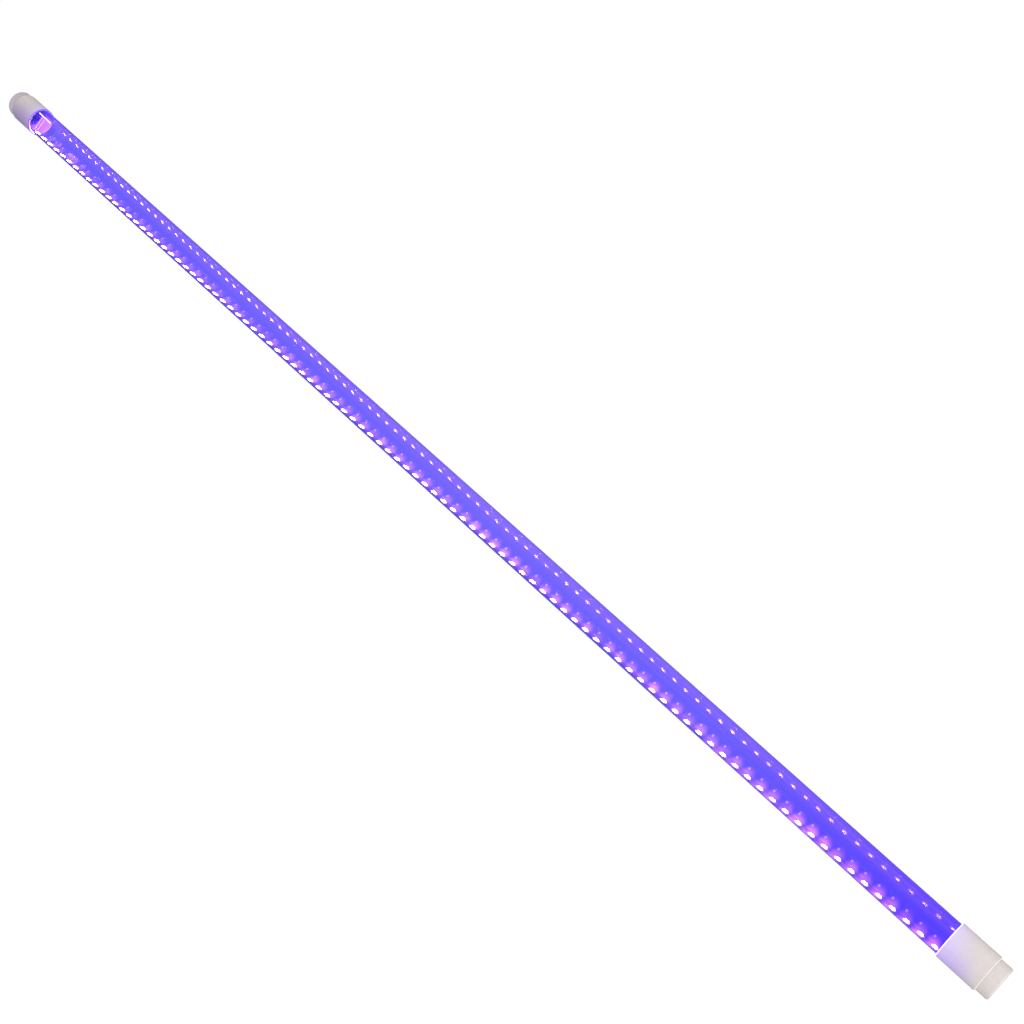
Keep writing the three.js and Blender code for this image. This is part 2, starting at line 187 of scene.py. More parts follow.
def finish_mesh(name, bm, matrix, *materials):
    """Makes a piece of a bmesh in millimetres."""
    bmesh.ops.recalc_face_normals(bm, faces=bm.faces)
    smooth_bm(bm)
    bm.transform(Matrix.Scale(MM, 4) @ matrix)
    mesh = bpy.data.meshes.new(name)
    bm.to_mesh(mesh)
    bm.free()
    for material in materials:
        mesh.materials.append(material)
    return add_object(name, mesh)


def softened(points, size, steps=3):
    """Rounds the corners of a profile of (x, radius). A profile that ends where it starts is closed."""
    closed = points[0] == points[-1]
    ring = points[:-1] if closed else points
    out = []
    for i, point in enumerate(ring):
        if not closed and i in (0, len(ring) - 1):
            out.append(point)
            continue
        here = Vector(point)
        before = Vector(ring[i - 1]) - here
        after = Vector(ring[(i + 1) % len(ring)]) - here
        reach = min(size, before.length * 0.45, after.length * 0.45)
        start = here + before.normalized() * reach
        end = here + after.normalized() * reach
        for step in range(steps + 1):
            t = step / steps
            out.append(tuple(start * (1 - t) ** 2 + here * 2 * t * (1 - t) + end * t ** 2))
    return out + [out[0]] if closed else out


def braced(profile, near=0.3):
    """Adds points just inside the ends of long straight runs, so that their shading stays flat."""
    out = [profile[0]]
    for one, two in zip(profile, profile[1:]):
        run = Vector(two) - Vector(one)
        if run.length > 8 * near:
            step = run.normalized() * near
            out += [tuple(Vector(one) + step), tuple(Vector(two) - step)]
        out.append(two)
    return out


def full_turn(count):
    """Evenly spaced angles, all the way round."""
    return [2 * math.pi * i / count for i in range(count)]


def round_x(x, radius, angle):
    """A point at that distance from X (an angle of 0 is +Y, a quarter turn is +Z)."""
    return x, radius * math.cos(angle), radius * math.sin(angle)


def add_faces(bm, one, two):
    """Joins two rows of equally many corners. A row may be one corner many times."""
    for i in range(len(one)):
        j = (i + 1) % len(one)
        corners = dict.fromkeys((one[i], one[j], two[j], two[i]))
        if len(corners) > 2:
            bm.faces.new(list(corners))


def lofted_bm(rows, ring=False):
    """A solid over outlines of equally many points, closed at both ends or joined into a ring."""
    bm = bmesh.new()
    made = [[bm.verts.new(point) for point in row] for row in rows]
    for one, two in zip(made, made[1:] + (made[:1] if ring else [])):
        add_faces(bm, one, two)
    if not ring:
        bm.faces.new(made[0])
        bm.faces.new(made[-1])
    return bm


def turned_bm(profile, sides):
    """A solid turned about X from its profile of (x, radius)."""
    bm = bmesh.new()
    profile = braced(profile)
    closed = profile[0] == profile[-1]
    rows = []
    for x, radius in profile[:-1] if closed else profile:
        if radius < 1e-6:
            rows.append([bm.verts.new((x, 0, 0))] * sides)
        else:
            rows.append([bm.verts.new(round_x(x, radius, angle)) for angle in full_turn(sides)])
    for one, two in zip(rows, rows[1:] + (rows[:1] if closed else [])):
        add_faces(bm, one, two)
    return bm


def turned(name, profile, material, matrix=Matrix(), sides=FINE, soften=0.12):
    return finish_mesh(name, turned_bm(softened(profile, soften), sides), matrix, material)


def ring_profile(start, end, inner, outer):
    return [(start, inner), (start, outer), (end, outer), (end, inner), (start, inner)]


def block_bm(x, y, z, bevel=0.15, segments=2):
    """A block with bevelled edges, between two places on each axis."""
    bm = bmesh.new()
    bmesh.ops.create_cube(bm, size=1)
    size = Matrix.Diagonal((x[1] - x[0], y[1] - y[0], z[1] - z[0], 1))
    middle = Vector(((x[0] + x[1]) / 2, (y[0] + y[1]) / 2, (z[0] + z[1]) / 2))
    bm.transform(Matrix.Translation(middle) @ size)
    bmesh.ops.bevel(bm, geom=bm.edges[:], offset=bevel, segments=segments, affect="EDGES",
                    profile=0.5, clamp_overlap=True)
    return bm


def sector_bm(start, end, inner, outer, middle, width, steps=40):
    """Part of a ring about X, as wide as one angle and with its middle at the other."""
    outline = [(radius, middle + turn * width * (i / steps - 0.5))
               for radius, turn in ((outer, 1), (inner, -1)) for i in range(steps + 1)]
    return lofted_bm([[round_x(x, *spot) for spot in outline] for x in (start, end)])


def smooth_path(points, steps=8):
    """Points along a Catmull-Rom curve through the given ones."""
    spots = [Vector(p) for p in points]
    spots = [2 * spots[0] - spots[1], *spots, 2 * spots[-1] - spots[-2]]
    out = []
    for a, b, c, d in zip(spots, spots[1:], spots[2:], spots[3:]):
        for i in range(steps):
            t = i / steps
            out.append(0.5 * (2 * b + (c - a) * t + (2 * a - 5 * b + 4 * c - d) * t ** 2
                              + (3 * b - a - 3 * c + d) * t ** 3))
    return out + [spots[-2]]


def wire_bm(points, radius, sides=20):
    """A round wire along a smooth path, cut off square at its ends."""
    path = smooth_path(points)
    side = (path[1] - path[0]).orthogonal().normalized()
    rows = []
    for i, spot in enumerate(path):
        along = (path[min(i + 1, len(path) - 1)] - path[max(i - 1, 0)]).normalized()
        side = (side - along * side.dot(along)).normalized()
        other = along.cross(side)
        rows.append([spot + radius * (math.cos(a) * side + math.sin(a) * other) for a in full_turn(sides)])
    return lofted_bm(rows)


def merged_bm(*parts):
    """One bmesh of several, whose solids stay apart."""
    out = bmesh.new()
    for part in parts:
        mesh = bpy.data.meshes.new("part")
        part.to_mesh(mesh)
        part.free()
        out.from_mesh(mesh)
        bpy.data.meshes.remove(mesh)
    return out


def carve(piece, cutter_bm, matrix, operation="DIFFERENCE"):
    """Cuts a bmesh in millimetres out of a piece, or joins it on."""
    cutter = finish_mesh("cutter", cutter_bm, matrix)
    tool = piece.modifiers.new("cut", "BOOLEAN")
    tool.operation = operation
    tool.solver = "EXACT"
    tool.object = cutter
    evaluated = piece.evaluated_get(bpy.context.evaluated_depsgraph_get())
    mesh = bpy.data.meshes.new_from_object(evaluated)
    piece.modifiers.clear()
    old = piece.data
    piece.data = mesh
    bpy.data.meshes.remove(old)
    bpy.data.objects.remove(cutter)
    bm = bmesh.new()
    bm.from_mesh(mesh)
    smooth_bm(bm)
    bm.to_mesh(mesh)
    bm.free()


def finish_inside(piece, radius):
    """Gives the faces nearer than that radius to the tube's axis the piece's second material."""
    for face in piece.data.polygons:
        out = math.hypot(face.center.y, face.center.z) / MM
        face.material_index = int(out < radius)


def place(piece, body, slot, *nodes):
    """Says which body a piece rides on and which CAD nodes it stands for. The slot is not used."""
    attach(piece, body)
    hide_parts(*nodes)


# ---- Material nodes ----

NOISE_RANGE = (0.3, 0.7)
WHITE = (1.0, 1.0, 1.0)
BLACK = (0.0, 0.0, 0.0)


class Nodes:
    """A material's tree, with a short call for each kind of node used here."""

    def __init__(self, name):
        self.material = bpy.data.materials.new(name)
        self.material.use_nodes = True
        self.tree = self.material.node_tree
        self.tree.nodes.clear()
        self.shader = self.node("BsdfPrincipled")
        self.output = self.node("OutputMaterial", Surface=self.shader.outputs[0])
        self.place = self.node("TexCoord").outputs["Object"]
        self.x, self.y, self.z = self.node("SeparateXYZ", Vector=self.place).outputs

    def give(self, socket, value):
        """Links an output to a socket, or sets a plain value on it."""
        if isinstance(value, bpy.types.NodeSocket):
            self.tree.links.new(value, socket)
        else:
            socket.default_value = value

    def give_all(self, node, values):
        for name, value in values.items():
            self.give(node.inputs[name.replace("_", " ")], value)

    def node(self, kind, **values):
        """A new node, given its inputs by name, with an underscore for each space."""
        node = self.tree.nodes.new("ShaderNode" + kind)
        self.give_all(node, values)
        return node

    def set(self, **values):
        """Gives the surface's shader its inputs."""
        self.give_all(self.shader, values)

    def shine(self, colour, strength=1.0):
        self.set(Emission_Color=colour, Emission_Strength=strength)

    def math(self, operation, *values):
        node = self.node("Math")
        node.operation = operation
        for socket, value in zip(node.inputs, values):
            self.give(socket, value)
        return node.outputs[0]

    def minus(self, one, two):
        return self.math("SUBTRACT", one, two)

    def times(self, first, *others):
        for value in others:
            first = self.math("MULTIPLY", first, value)
        return first

    def line(self, value, slope, start):
        """value times slope, plus start."""
        return self.math("MULTIPLY_ADD", value, slope, start)

    def distance(self, first, *others):
        """How far away a place is that lies that far away along each of the axes."""
        total = self.times(first, first)
        for value in others:
            total = self.math("ADD", total, self.times(value, value))
        return self.math("SQRT", total)

    def carry(self, value, start, end, at_start, at_end, way="LINEAR"):
        """Carries a value from one range to another, and holds it there."""
        node = self.node("MapRange", Value=value, From_Min=start, From_Max=end, To_Min=at_start,
                         To_Max=at_end)
        node.interpolation_type = way
        return node.outputs[0]

    def fade(self, value, start, end):
        """1 where value is at start or before it, and 0 from end on."""
        return self.carry(value, start, end, 1, 0, "SMOOTHSTEP")

    def beyond(self, value, start, end):
        """0 where value is at start or before it, and 1 from end on."""
        return self.carry(value, start, end, 0, 1, "SMOOTHSTEP")

    def spread(self, noise, low, high):
        """A noise's values, most of which lie in NOISE_RANGE, spread from low to high."""
        return self.carry(noise, *NOISE_RANGE, low, high)

    def noise(self, scale, detail=3, stretch=(1, 1, 1)):
        place = self.node("Mapping", Vector=self.place, Scale=stretch).outputs[0]
        return self.node("TexNoise", Vector=place, Scale=scale, Detail=detail).outputs["Fac"]

    def ramp(self, value, *stops):
        """Colours at places from 0 to 1."""
        node = self.node("ValToRGB", Fac=value)
        elements = node.color_ramp.elements
        while len(elements) < len(stops):
            elements.new(0.5)
        for element, (spot, colour) in zip(elements, stops):
            element.position = spot
            element.color = (*colour, 1)
        return node.outputs[0]

    def tones(self, noise, dark, light):
        return self.ramp(noise, *zip(NOISE_RANGE, (dark, light)))

    def mix(self, factor, one, two, blend="MIX"):
        node = self.node("Mix")
        node.data_type = "RGBA"
        node.blend_type = blend
        node.clamp_result = False
        self.give(node.inputs[0], factor)
        for socket, value in ((node.inputs[6], one), (node.inputs[7], two)):
            self.give(socket, value if isinstance(value, bpy.types.NodeSocket) else (*value, 1))
        return node.outputs[2]

    def bump(self, height, strength, distance=0.0002):
        node = self.node("Bump", Strength=strength, Distance=distance, Height=height)
        self.set(Normal=node.outputs[0])


def grained(name, scale, detail, dark, light, roughness, stretch=(1, 1, 1)):
    """A finish whose colour and gloss vary a little, at a grain of about 1 / scale metres."""
    n = Nodes(name)
    grain = n.noise(scale, detail, stretch)
    n.set(Base_Color=n.tones(grain, dark, light), Roughness=n.spread(grain, *roughness))
    return n, grain


def mottled(name, scale, dark, light, roughness, metallic=0.0, stretch=(1, 1, 1)):
    """A plain finish, a little uneven."""
    n, grain = grained(name, scale, 4, dark, light, roughness, stretch)
    n.set(Metallic=metallic)
    n.bump(n.noise(scale * 6, 2, stretch), 0.15)
    return n.material


# ---- Finishes ----
#
# Places and distances in the finishes are in metres, as the nodes have them.

LED_STRENGTH = 90.0         # of the lit faces
HOUSING_STRENGTH = 55.0
BOARD_STRENGTH = 26.0
LED_PLANE = -0.0103         # z of the LEDs' lit faces
GLOW_END = 0.556            # the painted glow of the LEDs on the bore stops at the last LEDs
VIOLET_BLUE = (0.12, 0.0, 0.96)
NOSE_SHADE = 0.42           # painted shade on the driver end's nose, even all round, because a nose turns
DRIVER_GLOW = (16, 26)      # how far from the end's face the LEDs' light reaches into the driver, in mm


def from_end(n):
    """Distance from the nearer nose's face."""
    return n.minus(HALF * MM, n.math("ABSOLUTE", n.x))


def from_axis(n):
    """Distance from the tube's axis."""
    return n.distance(n.y, n.z)


def driver_half(n):
    """1 in the driver end's half of the lamp and 0 in the plain end's."""
    return n.fade(n.x, -0.1, 0.1)


def near_end(n, start, end):
    """0 up to a distance from a nose's face, and 1 from another on, both in millimetres."""
    return n.beyond(from_end(n), start * MM, end * MM)


def beside_led(n, shift=0.0):
    """Distance along the tube from the nearest LED's middle, or from a spot that far beyond it."""
    pitch = LED_PITCH * MM
    turns = n.math("FRACT", n.math("DIVIDE", n.minus(n.x, shift), pitch))
    return n.times(n.math("ABSOLUTE", n.minus(turns, 0.5)), pitch)


def led_distance(n, along=1.0, across=1.0, shift=0.0):
    """Distance from the nearest LED's middle, with a weight along the tube and one across it."""
    down = n.times(n.minus(n.z, LED_PLANE), across)
    return n.distance(n.times(beside_led(n, shift), along), n.times(n.y, across), down)


def dot_distance(n):
    """Distance from the nearest of the small painted second reflections on the far side of the bore."""
    back = n.math("MINIMUM", n.minus(n.y, 0.005), 0.0)
    return n.distance(beside_led(n, -0.0046), n.minus(n.z, -0.0072), back)


def add_absorption(n):
    """Glass that swallows more light where it is seen edge-on, through more of it."""
    volume = n.node("VolumeAbsorption", Color=(*VIOLET_BLUE, 1), Density=650)
    n.tree.links.new(volume.outputs[0], n.output.inputs["Volume"])


def painted_led_glow(n):
    """The LEDs' light painted on the bore as a glow beside each LED, in patches."""
    painted_glow = n.fade(led_distance(n, 1.1, 0.7, -0.0022), 0.003, 0.0092)
    # No painted glow below the board's top, where the board shades the bore.
    above_board = n.beyond(n.z, -0.0113, -0.01)
    before_end = n.fade(n.math("ABSOLUTE", n.x), GLOW_END, GLOW_END + 0.006)
    far_side = n.math("MAXIMUM", n.beyond(n.y, -0.003, 0.002), n.beyond(n.x, 0.25, 0.5))
    patches = n.spread(n.noise(55, 3), 0.2, 1.5)
    painted_glow = n.times(painted_glow, above_board, before_end, patches, far_side, n.line(n.x, 0.6, 0.8))
    return painted_glow, before_end


def painted_driver_glow(n):
    """Irregular patches of painted pink glow on the far side of the bore near the driver end."""
    painted_glow_marks = n.math("MAXIMUM", n.spread(n.noise(170, 4), -1.6, 1.6), 0.0)
    along = (n.fade(n.x, -0.505, -0.47), n.beyond(n.x, -0.552, -0.54))
    across = (n.fade(n.z, -0.0065, -0.0035), n.beyond(n.y, 0.002, 0.006))
    return n.times(painted_glow_marks, *along, *across)


def bore_glow(n, streaks):
    """The LEDs' light, painted on the inner face as glow, second reflections and marks."""
    painted_glow, before_end = painted_led_glow(n)
    glow = n.mix(painted_glow, (0.006, 0.003, 0.02), (2.2, 0.75, 1.0))
    painted_dots = n.times(n.fade(dot_distance(n), 0.0004, 0.0012), before_end)
    glow = n.mix(painted_dots, glow, (1.4, 0.8, 0.9), "ADD")
    # Painted glow on the upper bore, where the LEDs' light falls on the far wall, streaked along the tube.
    top = n.times(n.beyond(n.z, 0.002, 0.0095), n.line(streaks, 0.9, 0.4))
    glow = n.mix(top, glow, (0.14, 0.075, 0.1), "ADD")
    return n.mix(painted_driver_glow(n), glow, (1.3, 0.5, 0.7), "ADD")


def make_glass():
    """Violet-blue glass, deeper towards the plain end, with faint drawing lines and the LEDs' light painted
    on its bore.

    It is one material on both faces, because the glass between them absorbs light."""
    n = Nodes("clear_tube")
    along = n.line(n.x, 1 / (2 * HALF * MM), 0.5)
    tint = n.ramp(along, (0.0, (0.6, 0.56, 1.0)), (0.6, (0.62, 0.58, 1.0)), (0.8, (0.56, 0.52, 1.0)),
                  (0.95, (0.44, 0.34, 1.0)), (1.0, (0.38, 0.27, 1.0)))
    streaks = n.spread(n.noise(420, 3, (0.012, 1, 1)), 0.0, 1.0)
    tint = n.mix(n.times(streaks, 0.18), tint, (0.74, 0.62, 1.0))
    inner = n.fade(from_axis(n), (BORE_R + 0.2) * MM, (BORE_R + 0.5) * MM)
    n.set(Base_Color=tint, Roughness=0.0, IOR=1.46, Transmission_Weight=1.0)
    n.shine(n.mix(inner, BLACK, bore_glow(n, streaks)))
    add_absorption(n)
    return n.material


def make_board_mask():
    """White solder mask that takes the LEDs' pink light, strongest beside each of them."""
    n, _ = grained("led_board_mask", 900, 4, (0.78, 0.75, 0.84), (0.86, 0.84, 0.9), (0.3, 0.42))
    near = n.fade(led_distance(n), 0.0022, 0.0052)
    beside = n.fade(led_distance(n, 0.9, 0.62), 0.0018, 0.0026)
    glow = n.mix(near, (0.008, 0.002, 0.014), (0.04, 0.014, 0.035))
    glow = n.mix(beside, glow, (1.0, 0.55, 0.75))
    top_face = n.beyond(n.z, (BOARD_TOP - 0.12) * MM, (BOARD_TOP - 0.02) * MM)
    lit = n.times(top_face, n.beyond(n.y, -0.0032, -0.0014))
    n.shine(n.mix(lit, (0.0005, 0.0003, 0.006), glow), BOARD_STRENGTH)
    n.bump(n.noise(2600, 2, (0.3, 1, 1)), 0.1)
    return n.material


def make_led_housing():
    n, grain = grained("led_housing", 1500, 3, (0.8, 0.77, 0.8), (0.88, 0.86, 0.88), (0.3, 0.45))
    # The housing's glow is painted light from the LED, brightest next to its middle.
    near = n.fade(beside_led(n), 0.0009, 0.0016)
    n.shine(n.mix(near, (0.85, 0.42, 0.55), (1.0, 0.8, 0.88)), HOUSING_STRENGTH)
    n.bump(grain, 0.1)
    return n.material


def make_led_window():
    """The lit face of an LED: white in its middle, pink towards its sides."""
    n = Nodes("led_window")
    core = n.fade(n.distance(n.times(n.y, 0.75), beside_led(n)), 0.0006, 0.0013)
    n.set(Base_Color=n.tones(n.noise(2500, 2), (0.9, 0.82, 0.92), (0.96, 0.9, 0.97)), Roughness=0.25)
    n.shine(n.mix(core, (0.9, 0.42, 0.75), WHITE), LED_STRENGTH)
    return n.material


def plastic_tone_and_painted_light(n, grain):
    """Warm white, with the tube's violet light painted on as lavender near the tube, more so below, and a
    painted shade at the driver end, darker towards the bottom of the sleeve.
    """
    colour = n.tones(grain, (0.6, 0.545, 0.525), (0.64, 0.585, 0.562))
    # Painted light: the tube's violet light as lavender near the mouth.
    colour = n.mix(n.times(near_end(n, 18, MOUTH), 0.3), colour, (0.55, 0.46, 0.95))
    # More painted violet light towards the bottom.
    low = n.times(near_end(n, 9, 26), n.fade(n.z, -0.012, 0.01))
    colour = n.mix(n.times(low, 0.6), colour, (0.5, 0.37, 0.88))
    # Painted shade at the driver end: darker towards the bottom of the sleeve, even on the nose.
    on_sleeve = near_end(n, SHOULDER - 0.2, SHOULDER + 0.2)
    shade = n.line(on_sleeve, n.minus(n.fade(n.z, -0.01, 0.012), NOSE_SHADE), NOSE_SHADE)
    return n.mix(n.times(driver_half(n), shade, 0.88), colour, (0.33, 0.26, 0.47))


def make_plastic(name):
    n = Nodes(name)
    grain = n.noise(260, 4)
    n.set(Roughness=n.spread(grain, 0.34, 0.44))
    n.bump(n.noise(2200, 2), 0.12, 0.00003)
    return n, plastic_tone_and_painted_light(n, grain)


def make_cap_plastic():
    """Moulded plastic, with the tube's light painted on as violet at its mouth and a painted glint at the
    seam.
    """
    n, colour = make_plastic("white_plastic")
    outer = n.beyond(from_axis(n), 0.0133, 0.0137)
    # Painted light in the rim's colour: dark violet outside and purple-grey inside at the driver end, pale
    # lavender at the plain end.
    painted_rim_tint = n.mix(outer, (0.45, 0.28, 0.5), (0.13, 0.08, 0.75))
    painted_rim_tint = n.mix(driver_half(n), (0.75, 0.66, 0.75), painted_rim_tint)
    rim_glow = n.mix(outer, (0.45, 0.22, 0.4), (0.04, 0.01, 0.45))
    rim_glow = n.mix(driver_half(n), (0.95, 0.72, 0.95), rim_glow)
    rim = near_end(n, MOUTH - 1.0, MOUTH - 0.1)
    glow = n.mix(rim, n.mix(near_end(n, 26, MOUTH), BLACK, (0.04, 0.02, 0.1)), rim_glow)
    # Painted highlight: a thin glowing line on the shoulder's rounded edge.
    painted_glint = n.times(n.fade(from_end(n), (SHOULDER + 0.3) * MM, (SHOULDER + 0.55) * MM),
                    near_end(n, SHOULDER - 0.35, SHOULDER - 0.15))
    n.set(Base_Color=n.mix(rim, colour, painted_rim_tint))
    n.shine(n.mix(painted_glint, glow, (0.24, 0.24, 0.22), "ADD"))
    return n.material


def make_cap_inside():
    """The same plastic inside the cap, with the tube's light painted on: a pink glow behind the tube's wall,
    a blue glow above and farther in, over a painted dark blue shade deep in the driver end's cap.
    """
    n, colour = make_plastic("white_plastic_inside")
    # Painted shade: the base colour turns dark blue deep in the driver end's cap.
    deep = n.times(n.fade(from_end(n), 0.03, 0.036), driver_half(n))
    lit = n.ramp(n.times(from_end(n), 1 / (MOUTH * MM)), (0.38, BLACK), (0.5, (0.02, 0.01, 0.4)),
                 (0.62, (2.2, 0.95, 0.6)), (0.97, (2.8, 1.3, 0.85)), (1.0, (3.0, 1.8, 1.4)))
    upper = n.mix(near_end(n, 13, 20), BLACK, (0.01, 0.01, 0.6))
    n.set(Base_Color=n.mix(deep, colour, (0.12, 0.11, 0.5)))
    n.shine(n.mix(n.fade(n.z, 0.001, 0.01), upper, lit), 2.2)
    return n.material


def make_silicone():
    """Cloudy glue, glowing pink from the LEDs."""
    n, grain = grained("silicone", 500, 4, (0.75, 0.68, 0.8), (0.86, 0.8, 0.88), (0.3, 0.5))
    n.shine(n.tones(grain, (0.35, 0.1, 0.6), (0.8, 0.32, 0.95)), 0.8)
    n.bump(n.noise(1400, 3), 0.3)
    return n.material


def make_lit(name, dark, light, roughness, glow, strength, reach=DRIVER_GLOW, metallic=0.0):
    """A finish inside the driver end that takes the LEDs' light."""
    n, _ = grained(name, 900, 4, dark, light, roughness)
    n.set(Metallic=metallic)
    n.shine(n.mix(near_end(n, *reach), BLACK, glow), strength)
    n.bump(n.noise(2500, 2), 0.12)
    return n.material


def make_circuit_board():
    """Green solder mask over raised tracks, with the lit white edge that shows in the mouth."""
    n = Nodes("circuit_board")
    level_place = n.node("Mapping", Vector=n.place, Rotation=(-DRIVER_ROLL, 0, 0)).outputs[0]
    bricks = n.node("TexBrick", Vector=level_place, Scale=420, Mortar_Size=0.03, Mortar_Smooth=0.2)
    tracks = bricks.outputs["Fac"]
    grain = n.noise(1200, 3)
    plain = n.tones(grain, (0.02, 0.115, 0.04), (0.03, 0.15, 0.055))
    n.set(Base_Color=n.mix(tracks, plain, (0.06, 0.23, 0.08)), Roughness=n.spread(grain, 0.28, 0.4))
    # Painted light: a white glow on the board's end edge and a faint blue glow near it.
    reach = near_end(n, DRIVER_END - 16, DRIVER_END - 1)
    edge = near_end(n, DRIVER_END - 0.25, DRIVER_END - 0.05)
    n.shine(n.mix(edge, n.mix(reach, BLACK, (0.008, 0.006, 0.13)), (1.0, 0.85, 0.6)), 7.0)
    n.bump(tracks, 0.2)
    return n.material


glass = make_glass()
board_mask = make_board_mask()
led_housing = make_led_housing()
led_window = make_led_window()
cap_plastic = make_cap_plastic()
cap_inside = make_cap_inside()
silicone = make_silicone()
circuit_board = make_circuit_board()

tinned = mottled("tinned_metal", 1500, (0.55, 0.55, 0.57), (0.72, 0.72, 0.74), (0.22, 0.38), 1.0)
brass = mottled("pin_brass", 1200, (0.62, 0.46, 0.2), (0.74, 0.58, 0.29), (0.2, 0.34), 1.0, (0.2, 1, 1))
spring_steel = mottled("spring_steel", 1200, (0.42, 0.43, 0.45), (0.56, 0.57, 0.6), (0.24, 0.36), 1.0)
aluminium = mottled("capacitor_top", 900, (0.6, 0.61, 0.63), (0.72, 0.73, 0.75), (0.25, 0.4), 1.0)
rubber = mottled("black_rubber", 1500, (0.012, 0.012, 0.014), (0.024, 0.024, 0.026), (0.65, 0.85))
ceramic = mottled("fuse_ceramic", 900, (0.66, 0.68, 0.6), (0.76, 0.78, 0.7), (0.25, 0.35))
red_lead = mottled("red_lead", 900, (0.38, 0.016, 0.012), (0.48, 0.028, 0.02), (0.38, 0.5))
black_lead = mottled("black_lead", 900, (0.012, 0.012, 0.014), (0.024, 0.024, 0.027), (0.38, 0.5))

insulation = make_lit("insulation", (0.19, 0.075, 0.028), (0.27, 0.115, 0.045), (0.45, 0.6),
                      (0.01, 0.01, 0.6), 0.8, (6, 12))
liner_film = make_lit("liner", (0.7, 0.68, 0.66), (0.8, 0.78, 0.75), (0.4, 0.5), (0.01, 0.01, 1.0), 1.2)
sleeve = make_lit("capacitor_sleeve", (0.018, 0.026, 0.042), (0.03, 0.042, 0.062), (0.3, 0.42),
                  (0.012, 0.01, 0.8), 0.8)
ferrite = make_lit("ferrite", (0.03, 0.026, 0.028), (0.055, 0.05, 0.052), (0.6, 0.8),
                   (0.012, 0.01, 0.8), 0.7)
enamel = make_lit("enamelled_copper", (0.3, 0.1, 0.035), (0.42, 0.16, 0.06), (0.25, 0.4),
                  (0.02, 0.01, 0.9), 1.1, metallic=0.6)
package = make_lit("black_package", (0.012, 0.012, 0.014), (0.022, 0.022, 0.025), (0.45, 0.6),
                   (0.01, 0.01, 0.8), 0.8)
film_case = make_lit("film_capacitor", (0.4, 0.12, 0.022), (0.5, 0.17, 0.035), (0.35, 0.5),
                     (0.01, 0.01, 0.7), 0.6)
white_lead = make_lit("white_lead", (0.72, 0.68, 0.7), (0.82, 0.79, 0.8), (0.38, 0.5),
                      (1.0, 0.5, 0.75), 2.2, (34, 38))


# ---- The tube ----

tube_half = HALF - TUBE_END
tube = turned("clear_tube_shell", ring_profile(-tube_half, tube_half, BORE_R, TUBE_R), glass,
              sides=192, soften=0.3)
place(tube, "root", "clear_tube", "clear_tube")


# ---- The LED strip ----

def rounded_outline(half_x, half_y, radius, steps=4):
    """Corners of a rounded rectangle in (X, Y)."""
    out = []
    for quarter, (sx, sy) in enumerate(((1, 1), (-1, 1), (-1, -1), (1, -1))):
        for i in range(steps + 1):
            angle = math.pi / 2 * (quarter + i / steps)
            out.append((sx * (half_x - radius) + radius * math.cos(angle),
                        sy * (half_y - radius) + radius * math.sin(angle)))
    return out


def level(x, outline, z, grow=0.0):
    """An outline at a height, moved along X and grown by that much on every side."""
    return [(x + px + math.copysign(grow, px), py + math.copysign(grow, py), z) for px, py in outline]


WELL = rounded_outline(0.82, 1.12, 0.35)


def housing_bm(x):
    """An LED's moulded cup: sloped outer sides, a rim, and sloped inner sides down to its lit face."""
    base = rounded_outline(LED_LENGTH / 2, LED_WIDTH / 2, 0.12)
    outside = [level(x, base, z, grow) for z, grow in ((BOARD_TOP, 0.0), (BOARD_TOP + 0.12, 0.0),
                                                       (LED_TOP - 0.06, -0.16), (LED_TOP, -0.22))]
    inside = [level(x, WELL, LED_TOP - z, grow) for z, grow in ((0, 0.14), (0.05, 0.1), (0.22, 0.0))]
    return lofted_bm(outside + inside)


def window_bm(x):
    """The phosphor gel in the cup, slightly domed."""
    return lofted_bm([level(x, WELL, LED_TOP - z, grow)
                      for z, grow in ((0.21, 0.0), (0.06, 0.08), (0.045, -0.25), (0.04, -0.5))])


def led_tabs_bm(x):
    """The two soldered tabs that show at an LED's ends, each with its fillet."""
    parts = []
    for side in (-1, 1):
        inner, outer = sorted((x + side * 1.32, x + side * 1.85))
        rows = []
        for height, pull in ((0.0, 0.0), (0.1, 0.05), (0.17, 0.17)):
            start, end, half = inner + pull * 0.3, outer - pull, 0.95 - pull
            rows.append([(px, py, BOARD_TOP + height)
                         for px, py in ((start, -half), (end, -half), (end, half), (start, half))])
        parts.append(lofted_bm(rows))
    return merged_bm(*parts)


def pad_bm(x, y):
    """A tinned pad of the board, with a low crown of solder."""
    outline = rounded_outline(0.9, 0.7, 0.2)
    return lofted_bm([[(x + px * share, y + py * share, BOARD_TOP + z) for px, py in outline]
                      for share, z in ((1.0, 0.0), (0.96, 0.05), (0.7, 0.09))])


def add_led_half(half, side):
    ends = sorted((side * 0.15, side * BOARD_END))
    panel = block_bm(ends, (-BOARD_WIDTH / 2, BOARD_WIDTH / 2), (BOARD_BOTTOM, BOARD_TOP), 0.06)
    spots = [side * (i + 0.5) * LED_PITCH for i in range(LED_COUNT // 2)]
    housings = merged_bm(*map(housing_bm, spots))
    windows = merged_bm(*map(window_bm, spots))
    tabs = merged_bm(*map(led_tabs_bm, spots))
    pads = merged_bm(*(pad_bm(side * x, y) for x in (1.1, BOARD_END - 1.4) for y in (-2.1, 2.1)))
    for name, bm, material, slot in (("board_panel", panel, board_mask, "led_board"),
                                     ("led_housings", housings, led_housing, "led_board"),
                                     ("led_windows", windows, led_window, "led_board"),
                                     ("led_solder", tabs, tinned, "tinned_metal"),
                                     ("end_pads", pads, tinned, "tinned_metal")):
        piece = finish_mesh(f"{half}_{name}", bm, Matrix(), material)
        piece.visible_diffuse = slot != "led_board"
        place(piece, "root", slot, f"{half}_led_board")


